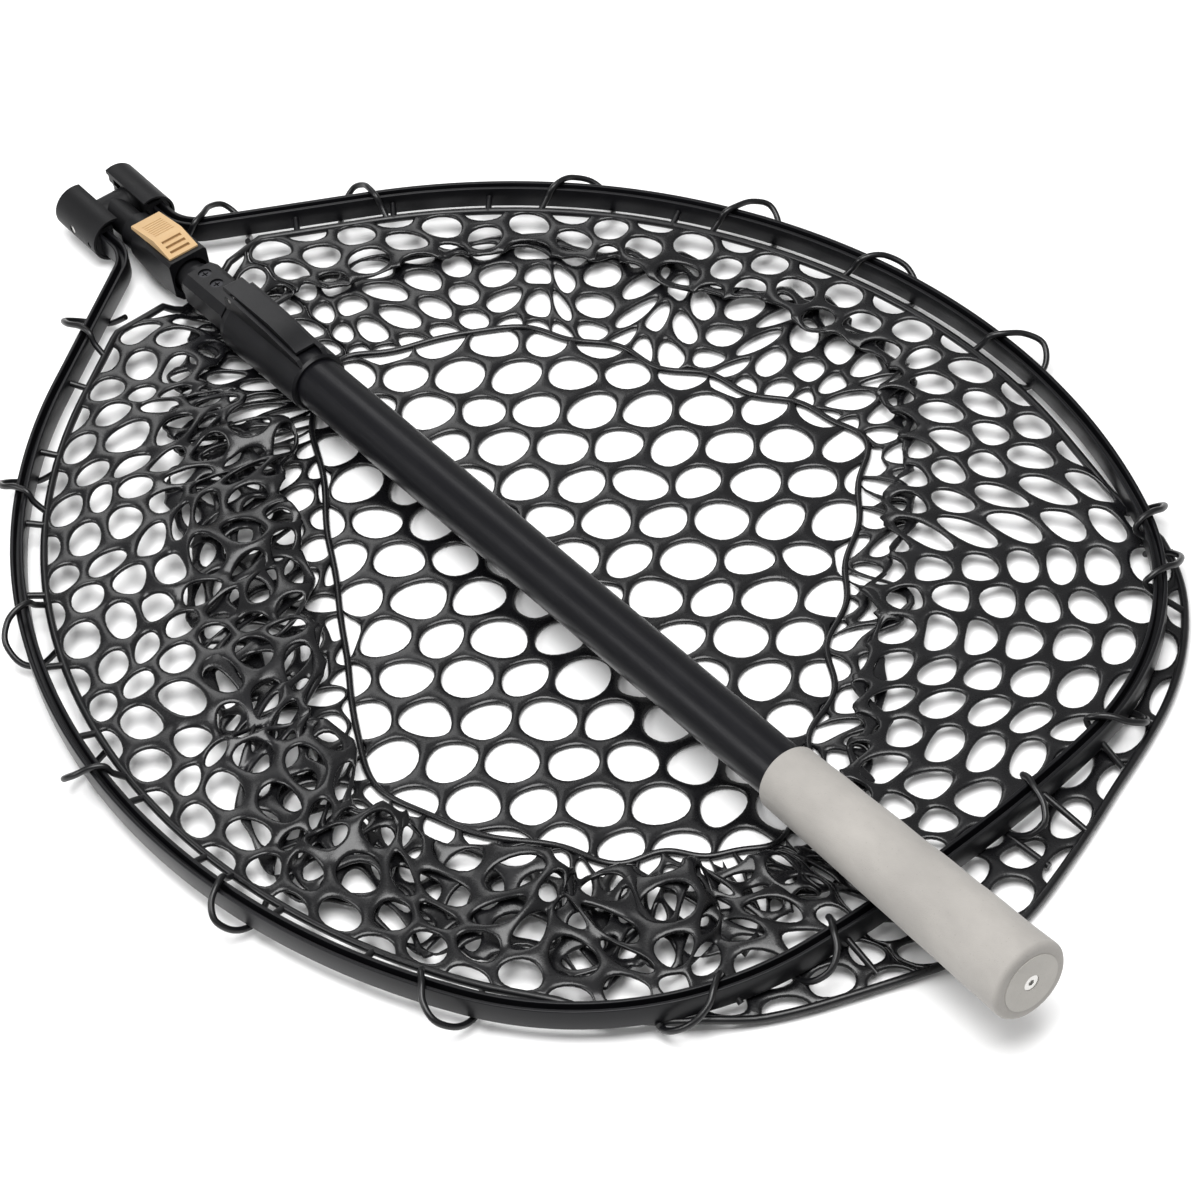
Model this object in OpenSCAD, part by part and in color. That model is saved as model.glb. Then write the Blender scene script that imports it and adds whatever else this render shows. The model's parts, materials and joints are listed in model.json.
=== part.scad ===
// Folding landing net with a telescopic handle, stored folded: the handle lies back over the hoop.
// Frame: +X runs along the handle from its pivot to its grip, +Y is to the side, +Z is up from the
// surface that the net lies on. The origin is the centre of the bounding box's underside.

/* [Hoop] */
// Height of the hoop's H-shaped profile
hoop_h = 11.8; // [10:0.1:13]
// Width of the hoop's profile across its two walls
hoop_w = 6.6; // [6:0.1:7.5]
// Angle at which each side flares out from the handle
flare_a = 55.8; // [55.4:0.1:56]
// Radius of the bend between the shell and the flare
flare_r = 24; // [20:1:26]
// Half width of the hoop where the flare turns into the side
side_y = 99.7; // [97:0.1:105]
// Distance along the handle from the pivot to the same point
side_x = 99.3; // [96:0.1:104]
// Angle by which the hoop, as bent, leans off the handle's line
skew_a = 3.9; // [0:0.1:4.5]
// Sideways set of the hoop's centre line at the pivot
skew_y = 4.6; // [0:0.1:5]

/* [Pivot] */
// Outer radius of each half-pipe shell
shell_r = 12.5; // [12:0.1:13]
// Half distance between the two shells' centre lines
shell_y = 12.9; // [12.5:0.1:13.2]
// Reach of the shells past the pivot, away from the hoop
shell_tail = 17; // [15:0.5:18]
// Reach of the shells from the pivot towards the hoop
shell_nose = 22; // [20:0.5:22]
// Radius of the hinge pin
pin_r = 2.5; // [2:0.1:3]
// Height of the pivot above the surface that the net lies on
pivot_h = 15; // [14.5:0.5:16]

/* [Collar] */
// Radius of the round neck that the collar slides on
neck_r = 8; // [7.5:0.1:8.2]
// Radius of the collar's round nose
nose_r = 10; // [9.6:0.1:10.2]
// Distance from the pivot to the nose at rest
nose_x = 25.6; // [25.6:0.1:26.5]
// Width of the collar's body
collar_w = 23; // [22:0.5:25]

/* [Handle] */
// Outer radius of the outer tube
tube_r = 13.5; // [13:0.1:14]
// Outer radius of the inner tube
inner_r = 11; // [10.8:0.1:11]
// Distance from the pivot to the end of the handle
handle_l = 745; // [740:1:760]
// Length of the foam grip
grip_l = 165; // [150:1:180]
// Radius of the grip at its front end
grip_r1 = 16.5; // [16:0.1:18]
// Radius of the grip at its rear end
grip_r2 = 19.8; // [19:0.1:20]
// Outer radius of the clamp sleeve
sleeve_r = 16; // [15.8:0.1:16.2]

/* [Net] */
// Thickness of one layer of the rubber mesh
mesh_t = 3; // [2.5:0.1:3]
// Thickness of the net's side wall where it lies gathered inside the hoop
wall_t = 6.2; // [5.5:0.1:6.2]
// Width of the band of gathered side wall
wall_w = 62; // [50:1:70]
// Thickness of the loops that tie the rim to the hoop
loop_t = 2.6; // [2:0.1:2.6]

/* [Hidden] */
$fn = 96;
// overlap of solids that are one piece, running fit of a bore, and gap between the loops and the hoop
eps = 0.01;
fit = 0.05;
loop_gap = 0.3;

// hoop outline as runs [radius, degrees], or [0, millimetres] for a straight; a bend to the right is negative
side_bends = [[332, -31.1], [373, -51.7], [159, -56.1]];
end_bend_r = 640;
end_bend_a = -(flare_a + 90) + 31.1 + 51.7 + 56.1;
bend_step = 3;
// where each arm starts inside its shell, and the two thicknesses of its H-shaped profile
lead_y = 17;
lead_x = 11;
wall_rib = 1.9;
web_t = 2.2;
// distances of the loops from the middle of the far end, along the hoop
loops_plus = [40, 105, 205, 240, 375, 465, 550, 645, 760, 838];
loops_minus = [80, 140, 255, 370, 480, 585, 685, 805];
loop_len = 5;
// band of the moulded rim cord, measured inwards from the hoop's centre line
rim_in = 13;
rim_w = 3;
// strip under the handle's head where only one layer of mesh lies
room_x0 = 20;
room_l = 300;
room_w = 48;

// pivot and shells: bores, hinge bosses, the square pad round the pin and the arm's block
shell_in_tail = 10.5;
shell_in_nose = 11.3;
slot_y = 8.4;
boss_r = 8.3;
flare_boss_r = 9.6;
boss_y = 15.4;
hub_r = 5.6;
washer_t = 0.8;
hub_y = 19.6;
hinge_pad = 16;
rivet_x = 17;
rivet_r = 1.6;
seat_x0 = 10.2;
seat_x1 = 15;
seat_w = 11.6;
seat_h = 16.8;

// places along the handle, from the pivot; the collar slides back 5 and forward 15
body_x = 38;
collar_end = 80;
pad_x0 = 38;
pad_x1 = 77;
pad_w = 17.6;
pad_z = 13;
ring_x = 48;
block_x0 = 90.5;
block_x1 = 128;
block_w = 22;
neck_end = 114;
screw_x = [96.5, 108];
spigot_end = 150;
inner_wall = 1.2;
inner_end = 575;
bush_l = 30;
sleeve_x0 = 131;
sleeve_x1 = 202;
tube_x0 = 143;
tube_wall = 1.2;
cap_l = 2.4;
cap_r = 14.4;
round_l = 5;
round_r = 9.6;
recess_r = 10.2;
recess_l = 12;
screw_r = 1.5;
screw_sink = 2.6;

// cam lever, its two ears on the sleeve, and the slot for its shoe
lever_x = 136;
lever_z = 19.8;
lever_w = 11.4;
lever_end = 194;
lever_lip = 126.6;
lever_top = 23;
lever_pin_r = 1.5;
cam_r = 4.4;
cam_drop = 1.4;
ear_y = 6;
ear_t = 2.3;
slot_z = 10.4;
slot_floor = 15.6;

// slope at which the handle lies, with its grip across the top of the hoop's far end
rest_gap = 0.3;
far_x = 652;
cross_r = grip_r1 + (grip_r2 - grip_r1) * (far_x - handle_l + grip_l) / grip_l;
rest_a = asin((hoop_h / 2 + rest_gap + cross_r) / far_x);

// a place [x, y, heading] carried part of the way, f, along one run
function turn(p, seg, f) =
    seg[0] == 0 ? [p[0] + seg[1] * f * cos(p[2]), p[1] + seg[1] * f * sin(p[2]), p[2]]
    : [p[0] + sign(seg[1]) * seg[0] * (sin(p[2] + seg[1] * f) - sin(p[2])),
       p[1] - sign(seg[1]) * seg[0] * (cos(p[2] + seg[1] * f) - cos(p[2])),
       p[2] + seg[1] * f];
function seg_len(seg) = seg[0] == 0 ? seg[1] : seg[0] * abs(seg[1]) * PI / 180;
// the place where each run starts, and the last one's end
function starts(segs, p, i = 0) =
    i >= len(segs) ? [p] : concat([p], starts(segs, turn(p, segs[i], 1), i + 1));
function total(segs, i = 0) = i >= len(segs) ? 0 : seg_len(segs[i]) + total(segs, i + 1);
function at_len(segs, p, s, i = 0) =
    s <= seg_len(segs[i]) || i == len(segs) - 1 ? turn(p, segs[i], s / seg_len(segs[i]))
    : at_len(segs, turn(p, segs[i], 1), s - seg_len(segs[i]), i + 1);
function spin(p, a) = [p[0] * cos(a) - p[1] * sin(a), p[0] * sin(a) + p[1] * cos(a)];

// one side of the hoop, from inside its shell to the middle of the far end; k is +1 or -1
function flare_of(k) = k * flare_a + skew_a;
function side_start(k) = spin([side_x, k * side_y - skew_y], skew_a);
function flare_run(k) = (side_start(k)[1] - k * lead_y) / sin(flare_of(k));
function corner_x(k) = side_start(k)[0] - flare_run(k) * cos(flare_of(k));
function bend_run(k) = flare_r * tan(abs(flare_of(k)) / 2);
function handed(seg, k) = seg[0] == 0 ? seg : [seg[0], k * seg[1]];
function far_bends() = concat(side_bends, [[end_bend_r, end_bend_a]]);
function far_run() = let (p = starts(far_bends(), [side_x, side_y, flare_a])) p[len(p) - 1][1];
function side_segs(k) = concat(
    [[0, corner_x(k) - bend_run(k) - lead_x], [flare_r, flare_of(k)], [0, flare_run(k) - bend_run(k)]],
    [for (b = far_bends()) handed(b, k)],
    [[0, far_run()]]);
function side_origin(k) = [lead_x, k * lead_y, 0];
function steps(seg) = seg[0] == 0 ? 1 : ceil(abs(seg[1]) / bend_step);
function side_pts(k, first) = let (segs = side_segs(k), p = starts(segs, side_origin(k)))
    [for (i = [first : len(segs) - 1]) for (j = [0 : steps(segs[i]) - 1])
        turn(p[i], segs[i], j / steps(segs[i]))];
function far_pt() = let (segs = side_segs(1), p = starts(segs, side_origin(1))) p[len(segs)];
// [x, y, heading] all the way round, from one shell to the other
function hoop_pts(first) = let (a = side_pts(1, first), b = side_pts(-1, first))
    concat(a, [far_pt()], [for (i = [len(b) - 1 : -1 : 0]) [b[i][0], b[i][1], b[i][2] + 180]]);
outline = [for (p = hoop_pts(2)) [p[0], p[1]]];

// bounding box of the resting net in the pivot's frame
y_max = max([for (p = outline) p[1]]) + hoop_w / 2 + loop_t;
y_min = min([for (p = outline) p[1]]) - hoop_w / 2 - loop_t;
x_max = handle_l * cos(rest_a) + grip_r1 * sin(rest_a);
x_min = -shell_tail;
origin = [-(x_min + x_max) / 2, -(y_min + y_max) / 2, pivot_h];

// everything fixed to the hoop is drawn about the pivot, level
module on_hoop() {
    translate(origin) children();
}

// everything on the handle is drawn along +X from the pivot, then tipped up onto the hoop
module on_handle() {
    translate(origin) rotate([0, -rest_a, 0]) children();
}

module along_x(x = 0) {
    translate([x, 0, 0]) rotate([0, 90, 0]) children();
}

module rod(x0, x1, r) {
    along_x(x0) cylinder(h = x1 - x0, r = r);
}

module pipe(x0, x1, r, bore) {
    difference() {
        rod(x0, x1, r);
        rod(x0 - 1, x1 + 1, bore);
    }
}

// H-shaped section of the hoop, as [sideways, up]: two walls joined by a web at mid height
hoop_section = let (a = hoop_w / 2, b = a - wall_rib, h = hoop_h / 2, t = web_t / 2)
    [[-a, -h], [-b, -h], [-b, -t], [b, -t], [b, -h], [a, -h],
        [a, h], [b, h], [b, t], [-b, t], [-b, h], [-a, h]];
// the same section cut into triangles and squares, for the two closed ends
section_faces = [[0, 1, 2], [0, 2, 9], [0, 9, 11], [9, 10, 11], [2, 3, 8, 9],
    [3, 4, 5], [3, 5, 6], [3, 6, 8], [6, 7, 8]];

// the section carried round the outline as one solid
module hoop_frame() {
    path = hoop_pts(0);
    n = len(hoop_section);
    m = len(path);
    color([0.06, 0.06, 0.065]) on_hoop() polyhedron(
        [for (p = path) for (q = hoop_section) [p[0] - q[0] * sin(p[2]), p[1] + q[0] * cos(p[2]), q[1]]],
        concat(
            [for (f = section_faces) [for (j = [len(f) - 1 : -1 : 0]) f[j]]],
            [for (i = [0 : m - 2]) for (j = [0 : n - 1])
                [i * n + j, i * n + (j + 1) % n, (i + 1) * n + (j + 1) % n, (i + 1) * n + j]],
            [for (f = section_faces) [for (j = f) (m - 1) * n + j]]));
}

// a half pipe open towards the handle, with a flat inside for the hinge and a block that holds the arm
module shell(k) {
    difference() {
        union() {
            difference() {
                translate([0, k * shell_y, 0]) rod(-shell_tail, shell_nose, shell_r);
                translate([0, k * shell_y, 0]) rod(-shell_tail - 1, 0, shell_in_tail);
                translate([0, k * shell_y, 0]) rod(-eps, shell_nose + 1, shell_in_nose);
            }
            intersection() {
                translate([0, k * shell_y, 0]) rod(-shell_tail, shell_nose - 1.2, shell_r - 0.5);
                union() {
                    translate([-hinge_pad / 2, k * (hub_y + washer_t + 3) - 3, -hinge_pad / 2])
                        cube([hinge_pad, 6, hinge_pad]);
                    translate([seat_x0 + 0.2, k * (lead_y + 0.5) - seat_w / 2, -seat_h / 2])
                        cube([shell_nose - seat_x0 - 1.2, seat_w, seat_h]);
                    translate([-seat_x1, -40, -40]) cube([seat_x1 - seat_x0, 80, 80]);
                }
            }
        }
        translate([-shell_tail - 1, -slot_y, -shell_r - 1])
            cube([shell_tail + shell_nose + 2, 2 * slot_y, 2 * shell_r + 2]);
        rod(-seat_x1 - 1, -seat_x0 + 1, nose_r + fit);
        translate([lead_x, k * lead_y - hoop_w / 2, -hoop_h / 2]) cube([shell_nose, hoop_w, hoop_h]);
        rotate([90, 0, 0]) cylinder(h = 80, r = pin_r, center = true);
        translate([rivet_x, 0, 0]) rotate([90, 0, 0]) cylinder(h = 80, r = rivet_r, center = true);
    }
}

module left_shell() {
    color([0.11, 0.11, 0.12]) on_hoop() shell(-1);
}

module right_shell() {
    color([0.11, 0.11, 0.12]) on_hoop() shell(1);
}

// one rivet through each arm inside its shell
module arm_rivets() {
    color("silver") on_hoop() for (k = [-1, 1])
        translate([rivet_x, k * (lead_y + hoop_w / 2), 0]) rotate([-90 * k, 0, 0])
            cylinder(h = shell_y + shell_r - lead_y - hoop_w / 2 - 0.5, r = rivet_r);
}

module hinge_pin() {
    color("silver") on_hoop() rotate([90, 0, 0])
        cylinder(h = 2 * (shell_y + shell_r - 0.6), r = pin_r, center = true);
}

module thrust_washers() {
    color("whitesmoke") on_hoop() for (k = [-1, 1])
        translate([0, k * (hub_y + washer_t / 2), 0]) rotate([90, 0, 0]) difference() {
            cylinder(h = washer_t, r = hub_r, center = true);
            cylinder(h = washer_t + 1, r = pin_r, center = true);
        }
}

// flat outline of the space inside the hoop, moved inwards by d
module inside(d) {
    offset(delta = -d) polygon(outline);
}

// room under the handle's head, where only one layer of mesh lies
module head_room(z) {
    translate([room_x0, -room_w / 2, z]) cube([room_l, room_w, 2 * pivot_h]);
}

// moulded cord that runs round just inside the hoop
module net_rim() {
    color([0.05, 0.05, 0.055]) on_hoop() translate([0, 0, -pivot_h + wall_t]) difference() {
        linear_extrude(mesh_t) difference() {
            inside(rim_in);
            inside(rim_in + rim_w);
        }
        head_room(-1);
    }
}

// one loop of the rim round the hoop's profile
module tie_loop(k, back) {
    segs = side_segs(k);
    q = at_len(segs, side_origin(k), total(segs) - back);
    translate([q[0], q[1], 0]) rotate([90, 0, q[2] + 90])
    linear_extrude(loop_len, center = true) difference() {
        union() {
            square([hoop_w + 2 * loop_t, hoop_h], center = true);
            square([hoop_w, hoop_h + 2 * loop_t], center = true);
            for (x = [-1, 1], y = [-1, 1]) translate([x * hoop_w / 2, y * hoop_h / 2]) circle(loop_t);
        }
        square([hoop_w + 2 * loop_gap, hoop_h + 2 * loop_gap], center = true);
    }
}

module net_loops() {
    color([0.05, 0.05, 0.055]) on_hoop() {
        for (s = loops_plus) tie_loop(1, s);
        for (s = loops_minus) tie_loop(-1, s);
    }
}

// side wall of the net, gathered in a band under and inside the hoop
module net_wall() {
    color([0.05, 0.05, 0.055]) on_hoop() translate([0, 0, -pivot_h]) difference() {
        linear_extrude(wall_t) difference() {
            inside(-2);
            inside(wall_w);
        }
        head_room(mesh_t);
    }
}

// flat bottom panel of the net
module net_bottom() {
    color([0.05, 0.05, 0.055]) on_hoop() translate([0, 0, -pivot_h]) linear_extrude(mesh_t) inside(wall_w);
}

// T-shaped neck: the cross boss turns on the hinge pin and the round neck runs back into the block
module pivot_neck() {
    color([0.13, 0.13, 0.14]) on_handle() difference() {
        union() {
            rotate([90, 0, 0]) rotate_extrude() polygon([
                [0, -hub_y + fit], [hub_r, -hub_y + fit], [hub_r, -boss_y], [flare_boss_r, -boss_y],
                [flare_boss_r, -13], [9, -11], [boss_r, -8.5], [boss_r, 8.5], [9, 11],
                [flare_boss_r, 13], [flare_boss_r, boss_y], [hub_r, boss_y],
                [hub_r, hub_y - fit], [0, hub_y - fit]]);
            rod(0, neck_end, neck_r);
        }
        rotate([90, 0, 0]) cylinder(h = 60, r = pin_r + fit, center = true);
        for (x = screw_x) translate([x, 0, 2]) cylinder(h = 10, r = screw_r);
    }
}

// eight-sided block with a flat top and a spigot for the inner tube
module head_block() {
    color([0.1, 0.1, 0.11]) on_handle() difference() {
        union() {
            rotate([90, 0, 90]) translate([0, 0, block_x0]) linear_extrude(block_x1 - block_x0) block_section();
            rod(block_x0 - round_l, block_x0 + eps, round_r);
            rod(block_x1 - eps, spigot_end, inner_r - inner_wall);
        }
        rod(block_x0 - round_l - 1, neck_end, neck_r);
        rod(neck_end + 2, spigot_end + 1, inner_r - inner_wall - 2.5);
        for (x = screw_x) translate([x, 0, 4]) {
            cylinder(h = 12, r = screw_r);
            translate([0, 0, block_w / 2 - 4 - screw_sink]) cylinder(h = 6, r = 3.6);
        }
    }
}

module block_section() {
    cut = 4;
    half = block_w / 2;
    polygon([
        [-half, -half + cut + 2], [-half + cut + 2, -half], [half - cut - 2, -half], [half, -half + cut + 2],
        [half, half - cut], [half - cut, half], [-half + cut, half], [-half, half - cut]]);
}

// two cross-head screws sunk in the block's flat top
module block_screws() {
    color("gray") on_handle() for (x = screw_x) translate([x, 0, 0]) difference() {
        union() {
            translate([0, 0, 2]) cylinder(h = block_w / 2 - screw_sink - 2 + eps, r = screw_r);
            translate([0, 0, block_w / 2 - screw_sink]) cylinder(h = 1.8, r = 3.5);
        }
        for (a = [0, 90]) rotate([0, 0, a]) translate([-1.9, -0.4, block_w / 2 - 1.7]) cube([3.8, 0.8, 3]);
    }
}

module inner_tube() {
    color([0.1, 0.1, 0.11]) on_handle() pipe(block_x1, inner_end, inner_r, inner_r - inner_wall);
}

// plastic bush at the inner tube's far end, which runs in the outer tube
module guide_bush() {
    color("dimgray") on_handle() pipe(inner_end - bush_l, inner_end, tube_r - tube_wall - fit, inner_r);
}

// sliding collar: a round nose, then a body that grows from round to square
module lock_collar() {
    color([0.09, 0.09, 0.1]) on_handle() difference() {
        union() {
            rod(nose_x, body_x + 1, nose_r);
            hull() {
                rod(body_x, body_x + 1, collar_w / 2 + 0.3, $fn = 32);
                collar_slab(body_x + 18, 1);
                collar_slab(collar_end - 1, 1);
            }
        }
        rod(nose_x - 1, collar_end + 1, neck_r + fit);
        rod(collar_end - recess_l, collar_end + 1, recess_r);
        rod(ring_x, ring_x + 4, neck_r + 1.6);
        translate([pad_x0, -pad_w / 2, pad_z - 0.6]) cube([pad_x1 - pad_x0, pad_w, 5]);
    }
}

module collar_slab(x, t) {
    cut = 4;
    half = collar_w / 2;
    translate([x, 0, 0]) rotate([90, 0, 90]) linear_extrude(t)
        polygon([
            [-half, -half + cut], [-half + cut, -half - 0.5], [half - cut, -half - 0.5], [half, -half + cut],
            [half, pad_z - 1.5], [half - 1.5, pad_z], [-half + 1.5, pad_z], [-half, pad_z - 1.5]]);
}

// thumb pad let into the collar's top: a long rise, a crest and a short grooved slope
module thumb_pad() {
    crest = [62, 17.8];
    rise = atan((crest[1] - pad_z - 1.8) / (crest[0] - pad_x0 - 0.8));
    color([0.86, 0.72, 0.5]) on_handle() difference() {
        rotate([90, 0, 0]) linear_extrude(pad_w, center = true) polygon([
            [pad_x0, pad_z - 0.6], [pad_x1, pad_z - 0.6], [pad_x1, pad_z + 1], crest,
            [pad_x0 + 0.8, pad_z + 1.8], [pad_x0, pad_z + 1]]);
        for (i = [0 : 2]) translate([crest[0] + 2.6 + 3.8 * i, 0, crest[1] - 2.6 - i * 1.1]) rotate([0, 15, 0])
            translate([0, -pad_w / 2 + 3, 0]) cube([1.8, pad_w - 6, 4]);
        translate([pad_x0 + 0.8, 0, pad_z + 1.8]) rotate([0, -rise, 0])
            for (i = [0 : 6]) translate([6.5 + 2.2 * i, -pad_w / 2 + 3, -0.6]) cube([0.9, pad_w - 6, 2]);
    }
}

// rubber ring in the collar's bore: it holds the collar where it is put
module friction_ring() {
    color([0.15, 0.15, 0.15]) on_handle() pipe(ring_x, ring_x + 4, neck_r + 1.6, neck_r + fit);
}

module outer_tube() {
    color([0.08, 0.08, 0.09]) on_handle() pipe(tube_x0, handle_l - cap_l, tube_r, tube_r - tube_wall);
}

// clamp sleeve on the outer tube's mouth, with two ears that carry the lever
module clamp_sleeve() {
    color([0.1, 0.1, 0.11]) on_handle() difference() {
        union() {
            along_x() rotate_extrude() polygon([
                [0, sleeve_x0], [sleeve_r - 2.2, sleeve_x0], [sleeve_r - 0.8, sleeve_x0 + 1],
                [sleeve_r, sleeve_x0 + 5], [sleeve_r, sleeve_x1 - 1.5], [sleeve_r - 1, sleeve_x1], [0, sleeve_x1]]);
            for (k = [-1, 1]) translate([0, k * (ear_y + ear_t / 2), 0]) rotate([90, 0, 0])
                linear_extrude(ear_t, center = true)
                    polygon([[sleeve_x0, 10], [sleeve_x0, 18.5], [sleeve_x0 + 2.2, 21.4], [sleeve_x0 + 9, 21.4],
                        [lever_end - 25, 20], [lever_end + 4, 17], [lever_end + 7, 14], [lever_end + 7, 10]]);
        }
        rod(sleeve_x0 - 1, tube_x0, inner_r + fit);
        rod(tube_x0, sleeve_x1 + 1, tube_r);
        translate([sleeve_x0 - 1, -ear_y, slot_z]) cube([tube_x0 - sleeve_x0, 2 * ear_y, 20]);
        translate([sleeve_x0 - 1, -ear_y, slot_floor]) cube([lever_end + 1.5 - sleeve_x0, 2 * ear_y, 20]);
        translate([lever_x, 0, lever_z]) rotate([90, 0, 0]) cylinder(h = 40, r = lever_pin_r, center = true);
    }
}

// shoe that the cam presses on the inner tube
module pressure_pad() {
    color("saddlebrown") on_handle() intersection() {
        translate([lever_x - 3, fit - ear_y, slot_z + fit]) cube([8.5, 2 * (ear_y - fit), 2.9]);
        pipe(sleeve_x0, tube_x0, 20, inner_r + fit);
    }
}

module lever_pin() {
    color("silver") on_handle() translate([lever_x, 0, lever_z]) rotate([90, 0, 0])
        cylinder(h = 2 * (ear_y + ear_t) - 0.4, r = lever_pin_r, center = true);
}

// flat lever: a cam at the head end, a long plate, and a tip that slopes down to a rounded end
module cam_lever() {
    color([0.12, 0.12, 0.13]) on_handle() difference() {
        union() {
            rotate([90, 0, 0]) linear_extrude(lever_w, center = true) polygon([
                [lever_lip, lever_top - 2.8], [lever_lip, lever_top - 0.8], [lever_lip + 1, lever_top],
                [lever_end - 24, lever_top], [lever_end - 4, lever_top - 2.6], [lever_end, lever_top - 4.4],
                [lever_end, lever_top - 5.8], [lever_end - 4, lever_top - 6.8],
                [lever_x + 16, lever_top - 6.8], [lever_x + 6, lever_top - 5.4], [lever_x, lever_top - 4.4]]);
            translate([lever_x, 0, lever_z - cam_drop]) rotate([90, 0, 0])
                cylinder(h = lever_w, r = cam_r, center = true);
        }
        translate([lever_x, 0, lever_z]) rotate([90, 0, 0]) cylinder(h = 40, r = lever_pin_r + fit, center = true);
    }
}

// foam grip, flared towards its end
module grip() {
    x0 = handle_l - grip_l;
    color([0.78, 0.76, 0.72]) on_handle() difference() {
        along_x() rotate_extrude() polygon([[0, x0], [grip_r1 - 1, x0], [grip_r1, x0 + 1.2],
            [grip_r2, handle_l - 2.5], [grip_r2 - 1.4, handle_l - 0.6], [cap_r, handle_l - 0.4], [0, handle_l - 0.4]]);
        rod(x0 - 1, handle_l - cap_l, tube_r);
        rod(handle_l - cap_l - eps, handle_l + 1, cap_r);
    }
}

module end_cap() {
    color([0.7, 0.69, 0.66]) on_handle() difference() {
        union() {
            rod(handle_l - cap_l, handle_l, cap_r);
            rod(handle_l - cap_l - 20, handle_l, tube_r - tube_wall);
        }
        rod(handle_l - cap_l - 21, handle_l + 1, 2);
        rod(handle_l - 1.6, handle_l + 1, 4);
    }
}

module cap_screw() {
    color("dimgray") on_handle() difference() {
        union() {
            rod(handle_l - 16, handle_l - 1.6, 2);
            rod(handle_l - 1.6, handle_l - 0.4, 3.9);
        }
        along_x(handle_l - 1.2) cylinder(h = 3, r = 1.6, $fn = 6);
    }
}

hoop_frame();
left_shell();
right_shell();
arm_rivets();
hinge_pin();
thrust_washers();
net_rim();
net_loops();
net_wall();
net_bottom();
pivot_neck();
head_block();
block_screws();
inner_tube();
guide_bush();
lock_collar();
thumb_pad();
friction_ring();
outer_tube();
clamp_sleeve();
pressure_pad();
lever_pin();
cam_lever();
grip();
end_cap();
cap_screw();
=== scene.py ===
# %% [markdown]
# # A folding landing net
#
# The net lies folded on a table: an H-section aluminium hoop, a moulded rubber net gathered inside it, and
# a telescopic handle turned back across the hoop. The hard parts come from the CAD model and only get
# finishes here. What bends, such as the net and its ties, is built in this file, because CAD is poor at it.

# %% Load the frame
import json
import math
import bmesh
import bpy
import numpy as np
from mathutils import Matrix, Vector


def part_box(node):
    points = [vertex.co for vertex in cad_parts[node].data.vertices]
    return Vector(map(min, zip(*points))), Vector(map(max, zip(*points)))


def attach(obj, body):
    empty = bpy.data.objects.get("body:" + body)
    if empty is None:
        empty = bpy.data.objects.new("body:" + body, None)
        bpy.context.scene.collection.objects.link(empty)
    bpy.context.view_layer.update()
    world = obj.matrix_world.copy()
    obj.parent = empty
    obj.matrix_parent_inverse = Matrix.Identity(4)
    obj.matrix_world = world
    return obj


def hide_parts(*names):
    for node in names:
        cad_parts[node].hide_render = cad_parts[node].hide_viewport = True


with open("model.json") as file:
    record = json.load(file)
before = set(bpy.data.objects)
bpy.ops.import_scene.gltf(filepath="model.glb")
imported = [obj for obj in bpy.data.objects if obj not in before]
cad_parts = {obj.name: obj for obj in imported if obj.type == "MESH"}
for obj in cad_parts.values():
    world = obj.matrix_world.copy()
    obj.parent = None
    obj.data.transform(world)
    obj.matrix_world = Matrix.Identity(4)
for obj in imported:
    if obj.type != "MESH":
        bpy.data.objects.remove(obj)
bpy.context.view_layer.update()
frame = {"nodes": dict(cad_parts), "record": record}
MM = 0.001

# %% [markdown]
# ## Where things are
#
# The hinge of the hoop is the natural place to measure from, so every length below is in millimetres from
# it. Its place comes from the CAD boxes of the hinge pin and of the neck that turns on it.

# %% Find the pivot
def middle(node):
    low, high = (np.array(corner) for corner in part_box(node))
    return (low + high) / 2


PIVOT = np.array([middle("hinge_pin")[0], middle("pivot_neck")[1], middle("hinge_pin")[2]])
FLOOR = -PIVOT[2] / MM


def placed(points):
    """Points in millimetres from the pivot, as metres in the scene."""
    return np.asarray(points, float) * MM + PIVOT


print("pivot at", PIVOT.round(4), "floor at", round(FLOOR, 2), "mm from it")

# %% [markdown]
# ## Camera
#
# A long lens from far off keeps the hoop's oval true. The camera looks down at 45 degrees from beside the
# grip, and leans a little, so the handle runs from corner to corner.

# %% Set up the camera
def look(place, turn, down, lean):
    """A camera matrix from its place in millimetres from the pivot, and its heading, slope and lean."""
    a, p, r = (math.radians(v) for v in (turn, down, lean))
    ahead = Vector((math.cos(p) * math.cos(a), math.cos(p) * math.sin(a), -math.sin(p)))
    side = ahead.cross(Vector((0, 0, 1))).normalized()
    rise = side.cross(ahead)
    right = math.cos(r) * side + math.sin(r) * rise
    up = -math.sin(r) * side + math.cos(r) * rise
    axes = Matrix((right, up, -ahead)).transposed().to_4x4()
    return Matrix.Translation(placed(place)) @ axes


lens = bpy.data.cameras.new("camera")
lens.sensor_width = 36
lens.lens = 121.25
lens.shift_x = 0.00125
lens.shift_y = 0.04325
lens.clip_end = 20
camera = bpy.data.objects.new("camera", lens)
bpy.context.scene.collection.objects.link(camera)
camera.matrix_world = look((1583.7, -686.5, 1343.0), 149.16, 45.29, -8.31)
bpy.context.scene.camera = camera

# %% [markdown]
# ## Light and floor
#
# Black rubber and satin black metal show their shape only by what they reflect, so the lights are large and
# soft: a strong broad panel above, weaker ones to the left and behind, and an even, dim world all round.

# %% Light the scene
def panel_light(name, place, aim, size, watts):
    lamp = bpy.data.lights.new(name, "AREA")
    lamp.shape = "RECTANGLE"
    lamp.size, lamp.size_y = size
    lamp.energy = watts
    lit = bpy.data.objects.new(name, lamp)
    bpy.context.scene.collection.objects.link(lit)
    lit.location = place
    lit.rotation_euler = (Vector(aim) - Vector(place)).to_track_quat("-Z", "Y").to_euler()
    return lit


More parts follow.
